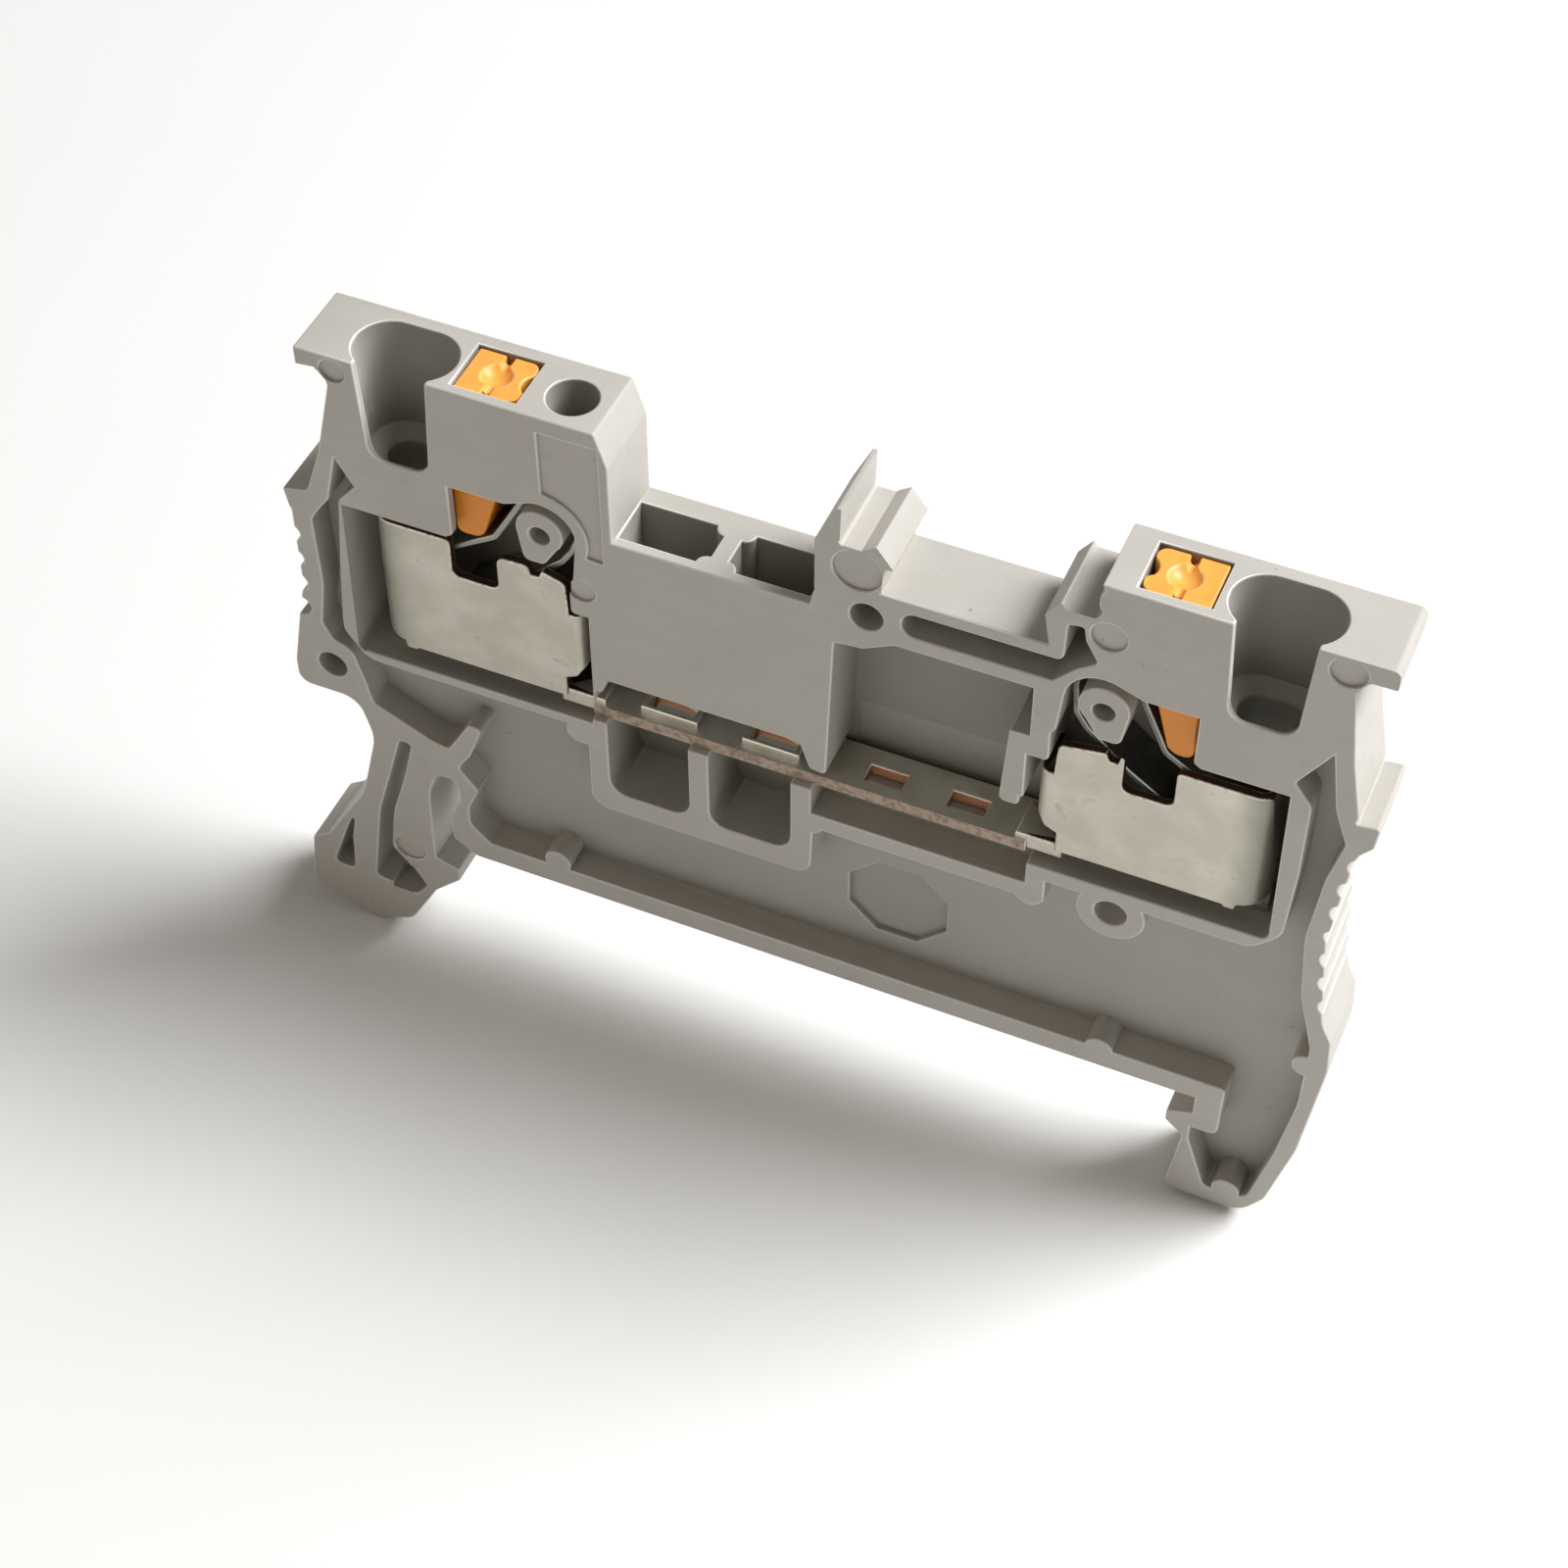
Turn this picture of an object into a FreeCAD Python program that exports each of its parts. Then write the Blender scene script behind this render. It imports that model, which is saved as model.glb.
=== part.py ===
import FreeCAD, Part
import math
import os

os.makedirs("parts", exist_ok=True)

# The block stands on a top-hat rail that runs along Y. X runs along the block, Z is up.
# The origin is the middle of the rail seat, in the plane of the open face (Y = 0).

# Across the block, from the open face to the closed face
block_width = 3.5
back_wall = 0.65
front_wall = 0.45
web_setback = 1.35
web_thickness = 0.9
mark_depth = 0.15

# Mounting rail, and the play that the foot leaves round its edges
rail_width = 35.0
rail_sheet = 1.0
rail_play = 0.08
hook_grip = 1.1
hook_wall = 4.2
latch_reach = 3.75
seat_rib = 1.15

# Heights above the rail seat
cage_floor = 11.2
foot_bottom = -6.7

# Heights above the ceiling of the two cages' rooms
tower_rise = 7.8
deck_rise = 2.4
deck_wall = 0.85
marker_rise = 4.05
marker_thickness = 0.62
left_window_rise = 2.75
right_window_rise = 2.6

# Reach of the housing along the block
left_lip = -21.1
right_lip = 22.3
lip_height = 0.9
left_tower_wall = -7.95
right_tower_wall = 11.4
centre_ridge = 0.42

# Current bar, folded from one strip with its two cages
bar_lift = 0.3
bar_thickness = 0.6
bar_front = 0.3
bar_depth = 2.3
bar_half_length = 9.35
bar_play = 0.05
slit_height = 1.95
sheet = 0.4
cage_reach = 18.95
cage_inner = 9.6
cage_height = 7.7
cage_headroom = 0.55
cage_depth = 2.2
outer_bend = 1.0
inner_bend = 0.45
plate_lift = 0.85
plate_tab = 0.12
right_plate_drop = 0.4
neck_height = 0.75

# Notch in the top edge of each cage plate, beside the pusher's tip
left_notch_outer = 15.32
right_notch_outer = 14.93
notch_width = 2.05
notch_depth = 1.9
crest_notch = 0.5

# Walls round the two cages
left_cage_gap = 0.95
right_cage_gap = 0.3
left_rim = 0.5
right_rim = 0.85
outer_gap = 0.92
left_skin = 1.0
right_skin = 0.75

# Pivot bosses that the clamp springs wrap round
left_boss_x = -11.08
left_boss_rise = 1.78
right_boss_x = 11.95
right_boss_rise = 1.6
boss_radius = 1.01
boss_drop = 1.68
boss_hole = 0.45
boss_hole_drop = 0.2

# Leaf clamp springs
leaf = 0.25
leaf_width = 2.0
leaf_play = 0.07
bow_shift = 0.08
left_leg_slope = 61.0
right_leg_slope = 66.0
left_leg_kink = 2.42
right_leg_kink = 2.3
blade_slope = 33.0
blade_gap = 0.55
left_bow_end = 200.0
right_bow_end = 185.0
left_brace = 1.0
right_brace = 1.35
brace_turn = 0.85
brace_turn_slope = 58.0
brace_cross = 2.4
brace_cross_slope = 43.0
brace_end_slope = 35.0
left_brace_gap = 3.08
right_brace_gap = 2.51

# Release pushers
pusher_travel = 1.5
pusher_play = 0.07
pusher_depth = 2.3
pusher_top_gap = 0.12
head_length = 3.0
left_head_outer = -14.55
right_head_outer = 15.27
head_width = 2.62
lobe_radius = 0.6
lobe_notch = 0.28
lobe_round = 0.4
groove_width = 0.46
groove_drop = 0.26
groove_end = 0.24
groove_end_width = 0.34
groove_end_drop = 0.55
dimple_radius = 0.64
dimple_drop = 0.3
shoulder_rise = 4.1
left_wedge_outer = 15.16
right_wedge_outer = 15.33
left_wedge_width = 2.1
right_wedge_width = 1.8
left_wedge_taper = 0.97
right_wedge_taper = 0.83
left_wedge_drop = 0.33
right_wedge_drop = 0.5

# Wire funnels and the test hole
left_funnel_x = -17.02
right_funnel_x = 17.8
funnel_length = 4.3
funnel_depth = 2.9
funnel_slot = 3.15
funnel_rise = 3.05
ledge_rise = 2.78
ledge_length = 3.9
ledge_depth = 2.65
throat_rise = 2.25
throat_length = 2.6
throat_depth = 1.6
throat_set_back = 0.08
test_hole_x = -10.05
test_hole_radius = 1.02
test_hole_rise = 3.6

# Bridge shafts in the middle block, and the contact pockets below the bar
shaft_left = -7.88
shaft_split = -4.2
split_web = 0.75
shaft_right = 0.08
shaft_depth = 2.1
shaft_corner = 0.45
wall_step = 0.1
wall_step_rise = 3.1
pocket_left = -8.65
pocket_drop = 3.9
pocket_length = 3.6
pocket_wall = 0.9
pocket_radius = 0.8

# Openings and collars punched in the bar
collar_height = 0.35
collar_front = 0.4
collar_length = 2.5
collar_wall = 0.25
bar_hole_places = (2.3, 5.8)
hole_front = 0.85
hole_length = 1.55
hole_depth = 0.85

# Details in the faces of the moulding
panel_rim = 0.85
octagon_x = 3.75
octagon_z = 4.5
octagon_radius = 2.35
octagon_depth = 0.3
stud_radius = 0.62
right_collar_x = 13.1
peg_hole = 0.68
grip_pitch = 1.4
grip_radius = 0.5
grip_cut = 0.22

overlap = 1.0
compartment = block_width - back_wall

# Levels that follow from the cages' floor
bar_bottom = cage_floor + bar_lift
bar_top = bar_bottom + bar_thickness
block_bottom = bar_top + slit_height
pocket_bottom = cage_floor - pocket_drop
ceiling = cage_floor + bar_play + cage_height + cage_headroom
deck_top = ceiling + deck_rise
centre_pocket_top = deck_top - deck_wall
marker_top = ceiling + marker_rise
tower_top = ceiling + tower_rise
left_boss_z = ceiling + left_boss_rise
funnel_bottom = ceiling + funnel_rise
shoulder_height = ceiling + shoulder_rise

# Centre line of the springs' bow round its boss
bow_radius = boss_radius + leaf_play + bow_shift + leaf / 2

# Walls round the cages, from the cages outward
left_pocket = -(cage_reach + left_cage_gap)
right_pocket = cage_reach + right_cage_gap
left_gap_in = left_pocket - left_rim
right_gap_in = right_pocket + right_rim
left_gap_out = left_gap_in - outer_gap
right_gap_out = right_gap_in + outer_gap
left_skin_x = left_gap_out - left_skin
right_skin_x = right_gap_out + right_skin

# The foot's walls stand off from the edges of the rail
rail_edge = rail_width / 2 + rail_play
hook_skin_x = rail_edge + hook_wall
hook_gap_x = hook_skin_x - right_skin
latch_gap_x = -(rail_edge + latch_reach)
latch_skin_x = latch_gap_x - left_skin
latch_root_x = latch_gap_x + outer_gap


class Side:
    """One end of the block: sign is -1 at the left end and +1 at the right end."""

    def __init__(self, sign, **sizes):
        self.sign = sign
        self.__dict__.update(sizes)


left = Side(
    -1,
    boss_x=left_boss_x,
    boss_z=left_boss_z,
    head_outer=left_head_outer,
    funnel_x=left_funnel_x,
    pocket=-left_pocket,
    window_top=ceiling + left_window_rise,
    window_outer=left_wedge_outer - 0.2,
    neck_low=cage_inner + 0.3,
    neck_high=cage_inner + 0.12,
    wedge_outer=left_wedge_outer,
    wedge_width=left_wedge_width,
    wedge_taper=left_wedge_taper,
    brace_gap=left_brace_gap,
    wedge_tip=ceiling - left_wedge_drop,
    leg_slope=left_leg_slope,
    leg_kink=left_leg_kink,
    bow_end=left_bow_end,
    brace=left_brace,
    notch_outer=left_notch_outer,
    plate_drop=0.0,
)
right = Side(
    1,
    boss_x=right_boss_x,
    boss_z=ceiling + right_boss_rise,
    head_outer=right_head_outer,
    funnel_x=right_funnel_x,
    pocket=right_pocket,
    window_top=ceiling + right_window_rise,
    window_outer=right_wedge_outer + 0.2,
    neck_low=cage_inner + 0.42,
    neck_high=cage_inner + 0.6,
    wedge_outer=right_wedge_outer,
    wedge_width=right_wedge_width,
    wedge_taper=right_wedge_taper,
    brace_gap=right_brace_gap,
    wedge_tip=ceiling - right_wedge_drop,
    leg_slope=right_leg_slope,
    leg_kink=right_leg_kink,
    bow_end=right_bow_end,
    brace=right_brace,
    notch_outer=right_notch_outer,
    plate_drop=right_plate_drop,
)


def vec(x, z, y=0.0):
    return FreeCAD.Vector(x, y, z)


def corner(before, point, after):
    """Start, middle and end of the arc that rounds one corner, or the corner itself."""
    here = vec(point[0], point[1])
    radius = point[2] if len(point) > 2 else 0.0
    to_before = vec(before[0], before[1]) - here
    to_after = vec(after[0], after[1]) - here
    angle = to_before.getAngle(to_after)
    if radius <= 0 or angle > math.pi - 0.01:
        return [here]
    setback = radius / math.tan(angle / 2)
    setback = min(setback, 0.48 * to_before.Length, 0.48 * to_after.Length)
    radius = setback * math.tan(angle / 2)
    to_before.normalize()
    to_after.normalize()
    bisector = to_before + to_after
    bisector.normalize()
    middle = here + bisector * (radius / math.sin(angle / 2) - radius)
    return [here + to_before * setback, middle, here + to_after * setback]


def outline(corners, y=0.0):
    """Closed wire in a plane of constant Y; a corner is (x, z) or (x, z, radius)."""
    count = len(corners)
    turns = [corner(corners[i - 1], corners[i], corners[(i + 1) % count]) for i in range(count)]
    edges = []
    for i, turn in enumerate(turns):
        following = turns[(i + 1) % count]
        if len(turn) == 3:
            edges.append(Part.Arc(*turn).toShape())
        if (following[0] - turn[-1]).Length > 1e-6:
            edges.append(Part.LineSegment(turn[-1], following[0]).toShape())
    wire = Part.Wire(edges)
    wire.translate(FreeCAD.Vector(0, y, 0))
    return wire


def prism(corners, y_from, y_to):
    """Solid of one outline between two depths."""
    face = Part.Face(outline(corners, y_from))
    return face.extrude(FreeCAD.Vector(0, y_to - y_from, 0))


def block(x_from, x_to, y_from, y_to, z_from, z_to):
    size = (x_to - x_from, y_to - y_from, z_to - z_from)
    return Part.makeBox(*size, FreeCAD.Vector(x_from, y_from, z_from))


def rod(x, z, radius, y_from, y_to):
    """Round bar or hole that runs across the block."""
    return Part.makeCylinder(radius, y_to - y_from, vec(x, z, y_from), FreeCAD.Vector(0, 1, 0))


def joined(shapes):
    result = shapes[0]
    if len(shapes) > 1:
        result = result.fuse(shapes[1:])
    return result.removeSplitter()


def mirrored(side, corners):
    """Outline given with X outward, placed on one end of the block."""
    return [(side.sign * point[0],) + tuple(point[1:]) for point in corners]


def stadium(x, y, z, length, depth):
    """Closed wire of a flat-sided oval in a plane of constant Z."""
    radius = depth / 2
    half = length / 2 - radius
    a = FreeCAD.Vector(x - half, y - radius, z)
    b = FreeCAD.Vector(x + half, y - radius, z)
    c = FreeCAD.Vector(x + half, y + radius, z)
    d = FreeCAD.Vector(x - half, y + radius, z)
    right_end = Part.Arc(b, FreeCAD.Vector(x + half + radius, y, z), c).toShape()
    left_end = Part.Arc(d, FreeCAD.Vector(x - half - radius, y, z), a).toShape()
    front_run = Part.LineSegment(a, b).toShape()
    back_run = Part.LineSegment(c, d).toShape()
    return Part.Wire([front_run, right_end, back_run, left_end])


def arc_points(x, z, radius, start, end, count):
    """Corners spread evenly round an arc, angles in degrees from +X towards +Z."""
    angles = [math.radians(start + (end - start) * i / (count - 1)) for i in range(count)]
    return [(x + radius * math.cos(a), z + radius * math.sin(a)) for a in angles]


def housing_silhouette():
    """Outer edge of the moulding, clockwise from the left lip."""
    hook_x = rail_edge
    hook_z = -rail_sheet - rail_play
    top = [
        (left_lip, tower_top, 0.12),
        (left_tower_wall - 0.5, tower_top, 0.15),
        (left_tower_wall, tower_top - 1.55, 0.5),
        (left_tower_wall, deck_top),
        (centre_ridge - 0.2, deck_top),
        (centre_ridge, deck_top + 0.9),
        (centre_ridge, tower_top - 1.9, 0.2),
        (centre_ridge + 0.85, tower_top - 0.1, 0.05),
        (centre_ridge + 1.03, tower_top - 0.1),
        (centre_ridge + 0.98, tower_top - 1.85, 0.15),
        (centre_ridge + 1.85, tower_top - 1.85),
        (centre_ridge + 2.43, tower_top - 1.45, 0.06),
        (centre_ridge + 3.13, tower_top - 2.4, 0.05),
        (centre_ridge + 2.75, tower_top - 2.45),
        (centre_ridge + 2.65, marker_top),
        (right_tower_wall - 1.75, marker_top),
        (right_tower_wall - 2.0, marker_top + 1.5, 0.1),
        (right_tower_wall - 1.42, tower_top - 1.45, 0.06),
        (right_tower_wall - 1.25, tower_top - 1.73),
        (right_tower_wall - 0.1, tower_top - 1.73, 0.15),
        (right_tower_wall + 0.1, tower_top - 1.4, 0.1),
        (right_tower_wall - 0.04, tower_top - 1.1, 0.15),
        (right_tower_wall - 0.04, tower_top - 0.6, 0.15),
        (right_tower_wall + 0.12, tower_top - 0.3),
        (right_tower_wall, tower_top),
        (right_lip, tower_top, 0.3),
        (right_lip, tower_top - lip_height, 0.1),
        (right_lip - 1.0, tower_top - lip_height, 0.3),
        (right_lip - 1.4, tower_top - lip_height - 0.6, 0.3),
    ]
    right_end = [
        (right_gap_out + 0.33, ceiling + 2.7, 2.0),
        (right_gap_out + 0.85, ceiling, 0.3),
        (right_skin_x, ceiling - 0.38, 0.1),
        (right_skin_x + 0.95, ceiling - 0.25, 0.15),
        (right_skin_x + 0.85, ceiling - 1.4, 0.2),
        (right_skin_x + 0.3, ceiling - 2.1, 1.0),
        (right_skin_x - 0.2, cage_floor + 1.2, 6.0),
        (right_skin_x + 0.3, cage_floor - 3.9, 2.0),
        (hook_skin_x + 0.78, cage_floor - 4.9, 0.5),
        (hook_skin_x + 0.9, 4.5, 4.0),
        (hook_skin_x + 0.3, -1.3, 4.0),
        (hook_skin_x - 0.6, foot_bottom + 1.4, 1.0),
        (hook_skin_x - 1.5, foot_bottom, 1.2),
        (hook_x - 0.8, foot_bottom, 0.5),
        (hook_x - 0.55, foot_bottom + 1.7),
        (hook_x - 0.3, hook_z - 1.7, 0.2),
        (hook_x - hook_grip, hook_z - 1.0, 0.15),
        (hook_x - hook_grip, hook_z - 0.4, 0.15),
        (hook_x, hook_z),
        (hook_x, 0.0),
    ]
    left_end = [
        (2.1 - hook_x, 0.0, 0.5),
        (1.05 - hook_x, 0.75, 0.12),
        (1.0 - hook_x, 2.1, 1.0),
        (1.6 - hook_x, 3.5, 0.3),
        (1.55 - hook_x, 4.65, 0.5),
        (0.55 - hook_x, 4.65, 0.5),
        (0.1 - hook_x, 3.3, 1.5),
        (-hook_x, 0.3),
        (-hook_x, hook_z),
        (hook_grip - hook_x, hook_z - 0.4, 0.15),
        (hook_grip - hook_x, hook_z - 1.1, 0.2),
        (-hook_x - 0.2, hook_z - 2.4, 1.0),
        (-hook_x - 1.6, foot_bottom + 0.6, 1.0),
        (latch_gap_x + 0.1, foot_bottom - 0.4, 0.8),
        (latch_skin_x - 0.6, foot_bottom + 0.65, 0.5),
        (latch_skin_x - 1.95, foot_bottom + 0.75, 0.4),
        (latch_skin_x - 1.6, foot_bottom + 4.15, 0.3),
        (latch_skin_x - 0.75, foot_bottom + 4.75, 0.3),
        (latch_gap_x + 0.45, 1.8, 4.0),
        (latch_root_x + 0.5, 5.8, 2.5),
        (left_gap_in - 0.1, cage_floor - 3.25, 1.0),
        (left_skin_x - 0.95, cage_floor - 3.25, 0.6),
        (left_skin_x - 0.95, cage_floor - 1.9, 2.0),
        (left_skin_x - 0.3, cage_floor + 1.6, 2.0),
        (left_skin_x, ceiling - 5.4, 3.0),
        (left_skin_x, ceiling - 1.2, 1.0),
        (left_skin_x - 0.22, ceiling - 0.05, 0.06),
        (left_gap_out - 0.1, ceiling + 0.2, 0.25),
        (left_gap_in - 0.25, ceiling + 2.5, 2.0),
        (left_lip + 1.35, tower_top - lip_height - 0.45, 0.3),
        (left_lip + 0.9, tower_top - lip_height + 0.1, 0.3),
        (left_lip, tower_top - lip_height, 0.08),
    ]
    return top + right_end + left_end


def web_recess():
    """Area between the ribs where the moulding thins to its web."""
    hook_x = rail_edge
    underside = cage_floor - left_rim + 0.05
    pocket_out = pocket_left - pocket_wall
    pocket_far = pocket_left + 2 * pocket_length + 2 * pocket_wall
    shelf = pocket_bottom + 1.85
    left_side = [
        (left_gap_out + 0.9, cage_floor - 0.25, 0.8),
        (left_gap_out + 0.05, cage_floor + 0.05, 0.4),
        (left_gap_out - 0.35, cage_floor + 0.9, 0.3),
        (left_gap_out, ceiling - 5.0, 3.0),
        (left_gap_out - 0.1, ceiling - 1.4, 0.3),
        (left_gap_out + 0.3, ceiling - 0.7, 0.2),
        (left_gap_in - 0.1, ceiling, 0.3),
        (left_gap_in + 0.45, ceiling + 2.45),
        (left_pocket + 0.7, ceiling + 1.15, 0.1),
        (left_gap_in + 0.4, ceiling + 0.2, 0.6),
        (left_gap_in, ceiling - 4.0, 2.0),
        (left_gap_in - 0.25, cage_floor + 1.0, 1.0),
        (left_pocket + 0.3, underside, 0.9),
        (pocket_out - 0.9, underside, 0.1),
        (pocket_out - 0.8, underside - 0.8, 0.5),
        (pocket_out, underside - 0.9, 0.2),
        (pocket_out, pocket_bottom - 1.15, pocket_radius),
        (pocket_far, pocket_bottom - 1.15, pocket_radius),
        (pocket_far + 0.1, shelf, 0.3),
        (cage_inner - 0.4, shelf),
        (cage_inner + 0.75, shelf, 0.1),
        (cage_inner + 0.75, underside - 0.3),
    ]
    right_side = [
        (right_pocket - 0.5, underside - 0.3, 1.0),
        (right_gap_in - 0.2, cage_floor + 0.5, 1.2),
        (right_gap_in, ceiling - 4.0, 3.0),
        (right_gap_in, ceiling - 0.2, 0.7),
        (right_pocket + 0.1, ceiling + 0.8, 0.2),
        (right_gap_in + 0.45, ceiling + 2.8),
        (right_gap_out - 0.05, ceiling, 0.5),
        (right_gap_out + 0.55, ceiling - 1.7, 0.2),
        (right_gap_out + 0.05, ceiling - 3.9, 3.0),
        (right_gap_out - 0.28, cage_floor + 0.8, 6.0),
        (right_gap_out, cage_floor - 2.6, 3.0),
        (hook_gap_x + 0.75, 5.5, 2.0),
        (hook_gap_x + 0.7, 1.7, 4.0),
        (hook_gap_x + 0.15, -2.0, 4.0),
        (hook_gap_x - 0.65, foot_bottom + 1.0, 0.6),
        (hook_x + 0.95, foot_bottom + 0.9, 0.3),
        (hook_x, -rail_sheet - 1.9),
        (hook_x, -rail_sheet - 1.05),
        (hook_x + 1.15, -rail_sheet - 1.05, 0.4),
        (hook_x + 1.2, seat_rib, 0.25),
        (2.9 - hook_x, seat_rib, 0.1),
        (1.95 - hook_x, seat_rib + 0.95, 0.6),
        (2.0 - hook_x, seat_rib + 2.0, 0.4),
        (2.55 - hook_x, seat_rib + 3.3, 0.2),
        (1.65 - hook_x, seat_rib + 4.4, 0.4),
        (2.3 - hook_x, seat_rib + 5.4, 0.3),
        (3.0 - hook_x, seat_rib + 7.3, 0.2),
        (2.4 - hook_x, seat_rib + 7.4, 0.2),
        (1.3 - hook_x, seat_rib + 5.45, 0.3),
        (0.55 - hook_x, seat_rib + 5.6, 0.2),
        (left_gap_in + 0.7, cage_floor - 3.2, 0.4),
        (left_gap_in + 0.45, cage_floor - 2.0, 0.8),
    ]
    return left_side + right_side


def bare_housing():
    """The moulding's slab with its thin web and the plain parts of its foot."""
    slab = prism(housing_silhouette(), 0.0, block_width)
    recess = web_recess()
    rear_face = web_setback + web_thickness
    slab = slab.cut(prism(recess, -overlap, web_setback))
    slab = slab.cut(prism(recess, rear_face, block_width + overlap))
    return slab.cut(foot_slots())


def foot_slots():
    """Slots that make the latch foot springy, and its hollow for a screwdriver blade."""
    flex_x = -rail_width / 2 - 0.9
    flex = [
        (flex_x - 0.28, 6.1, 0.25),
        (flex_x + 0.3, 6.1, 0.25),
        (flex_x - 0.2, 4.0, 3.0),
        (flex_x - 1.05, 1.2, 4.0),
        (flex_x - 1.35, -1.3, 0.6),
        (flex_x - 1.55, -3.9, 0.3),
        (flex_x - 2.45, -3.9, 0.3),
        (flex_x - 1.75, 1.0, 5.0),
    ]
    hollow = [
        (flex_x - 1.35, -1.3),
        (flex_x - 0.4, -2.4, 0.3),
        (flex_x + 0.2, -3.4, 0.3),
        (flex_x - 0.4, -4.2, 0.3),
        (flex_x - 1.6, -4.2),
    ]
    blade = [
        (flex_x - 3.1, 0.2, 0.1),
        (flex_x - 3.4, -1.6, 2.0),
        (flex_x - 3.55, -3.9, 0.3),
        (flex_x - 4.6, -3.9, 0.3),
        (flex_x - 3.6, -1.0, 2.0),
    ]
    through = prism(flex, -overlap, block_width + overlap)
    return joined([through, prism(hollow, -overlap, web_setback), prism(blade, -overlap, web_setback)])


def clamp_room(side):
    """Room for one cage, its spring and the pusher's tip, open at the front."""
    boss = abs(side.boss_x)
    bow = bow_radius + leaf / 2 + leaf_play
    arc = arc_points(boss - bow_shift, side.boss_z, bow, 62, 178, 9)
    corners = [
        (side.pocket, ceiling, 0.05),
        (side.pocket + 0.12, cage_floor, 0.35),
        (cage_inner - 0.3, cage_floor),
        (cage_inner - 0.3, bar_bottom - bar_play),
        (cage_inner - 0.45, bar_bottom - bar_play),
        (cage_inner - 0.45, ceiling - 2.1),
        (side.neck_low, ceiling - 2.1, 0.2),
        (side.neck_low, ceiling - 0.5, 0.2),
        (side.neck_high, ceiling - 0.3),
    ]
    corners += arc[::-1]
    corners += [
        (boss + bow * 0.98, side.window_top, 0.3),
        (side.window_outer, side.window_top),
        (side.window_outer, ceiling + 0.2),
        (side.window_outer + 0.3, ceiling, 0.15),
    ]
    return prism(mirrored(side, corners), -overlap, compartment)


def boss(side):
    """Drop-shaped boss that carries one spring, with its round hole."""
    x = abs(side.boss_x)
    z = side.boss_z
    foot = [
        (x + 0.97 * boss_radius, z - 0.28),
        (x + 0.75, z - boss_drop, 0.35),
        (x - 0.12, z - boss_drop, 0.3),
        (x - 0.97 * boss_radius, z - 0.28),
    ]
    head = rod(side.boss_x, z, boss_radius, 0.0, compartment)
    drop = joined([head, prism(mirrored(side, foot), 0.0, compartment)])
    return drop.cut(rod(side.boss_x, z - boss_hole_drop, boss_hole, -overlap, compartment))


def pusher_profile(side, grow=0.0, drop=0.0):
    """Side view of a pusher, or of its channel when it is grown by the running play."""
    outer = abs(side.head_outer)
    inner = outer - head_width
    top = tower_top - pusher_top_gap
    knee = top - head_length
    shoulder = max(outer, side.wedge_outer)
    wedge_inner = side.wedge_outer - side.wedge_width
    return [
        (outer + grow, top + (overlap if grow else 0.0)),
        (outer + grow, shoulder_height + shoulder - outer + grow),
        (shoulder + grow, shoulder_height + grow),
        (side.wedge_outer + grow, shoulder_height - 0.4, 0.1),
        (side.wedge_outer + grow, side.wedge_tip - drop, 0.35),
        (wedge_inner + side.wedge_taper - grow, side.wedge_tip - drop, 0.6),
        (wedge_inner - grow, side.window_top - drop, 0.4),
        (inner - grow, knee - drop, 0.4),
        (inner - grow, top + (overlap if grow else 0.0)),
    ]


def pusher_channel(side):
    """Guide for one pusher, long enough for its whole travel."""
    corners = pusher_profile(side, pusher_play, pusher_travel)
    depth = front_wall + pusher_depth + 2 * pusher_play
    channel = prism(mirrored(side, corners), front_wall, depth)
    low = ceiling - pusher_travel
    keep = block(-cage_reach, cage_reach, 0.0, block_width, low, tower_top + overlap)
    return channel.common(keep)


def funnel(side):
    """Oval wire entry that narrows to its throat, with the slot in the open face."""
    x = side.funnel_x
    middle = funnel_depth / 2
    mouth = stadium(x, middle, tower_top, funnel_length, funnel_depth)
    lip = stadium(x, middle, tower_top + overlap, funnel_length, funnel_depth)
    bore = middle + throat_set_back
    ledge = stadium(x, bore, ceiling + ledge_rise, ledge_length, ledge_depth)
    throat = stadium(x, bore, ceiling + throat_rise, throat_length, throat_depth)
    end = stadium(x, bore, ceiling - overlap, throat_length, throat_depth)
    parts = [
        Part.makeLoft([lip, mouth], True, True),
        Part.makeLoft([mouth, ledge], True, True),
        Part.makeLoft([ledge, throat], True, True),
        Part.makeLoft([throat, end], True, True),
    ]
    half = funnel_slot / 2
    slot = [
        (x - half, tower_top + overlap),
        (x + half, tower_top + overlap),
        (x + half - 0.3, funnel_bottom, 0.7),
        (x - half + 0.3, funnel_bottom, 0.7),
    ]
    parts.append(prism(slot, -overlap, middle))
    return joined(parts)


def shaft(x_from, x_to, cut_sign):
    """Shaft for a plug-in bridge, with its two corners cut off beside the split web."""
    z_from = block_bottom - overlap
    z_to = deck_top + overlap
    y_to = front_wall + shaft_depth
    body = block(x_from, x_to, front_wall, y_to, z_from, z_to)
    x = x_to if cut_sign > 0 else x_from
    for y in (front_wall, y_to):
        body = body.cut(Part.makeCylinder(shaft_corner, z_to - z_from, vec(x, z_from, y)))
    return body


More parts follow.
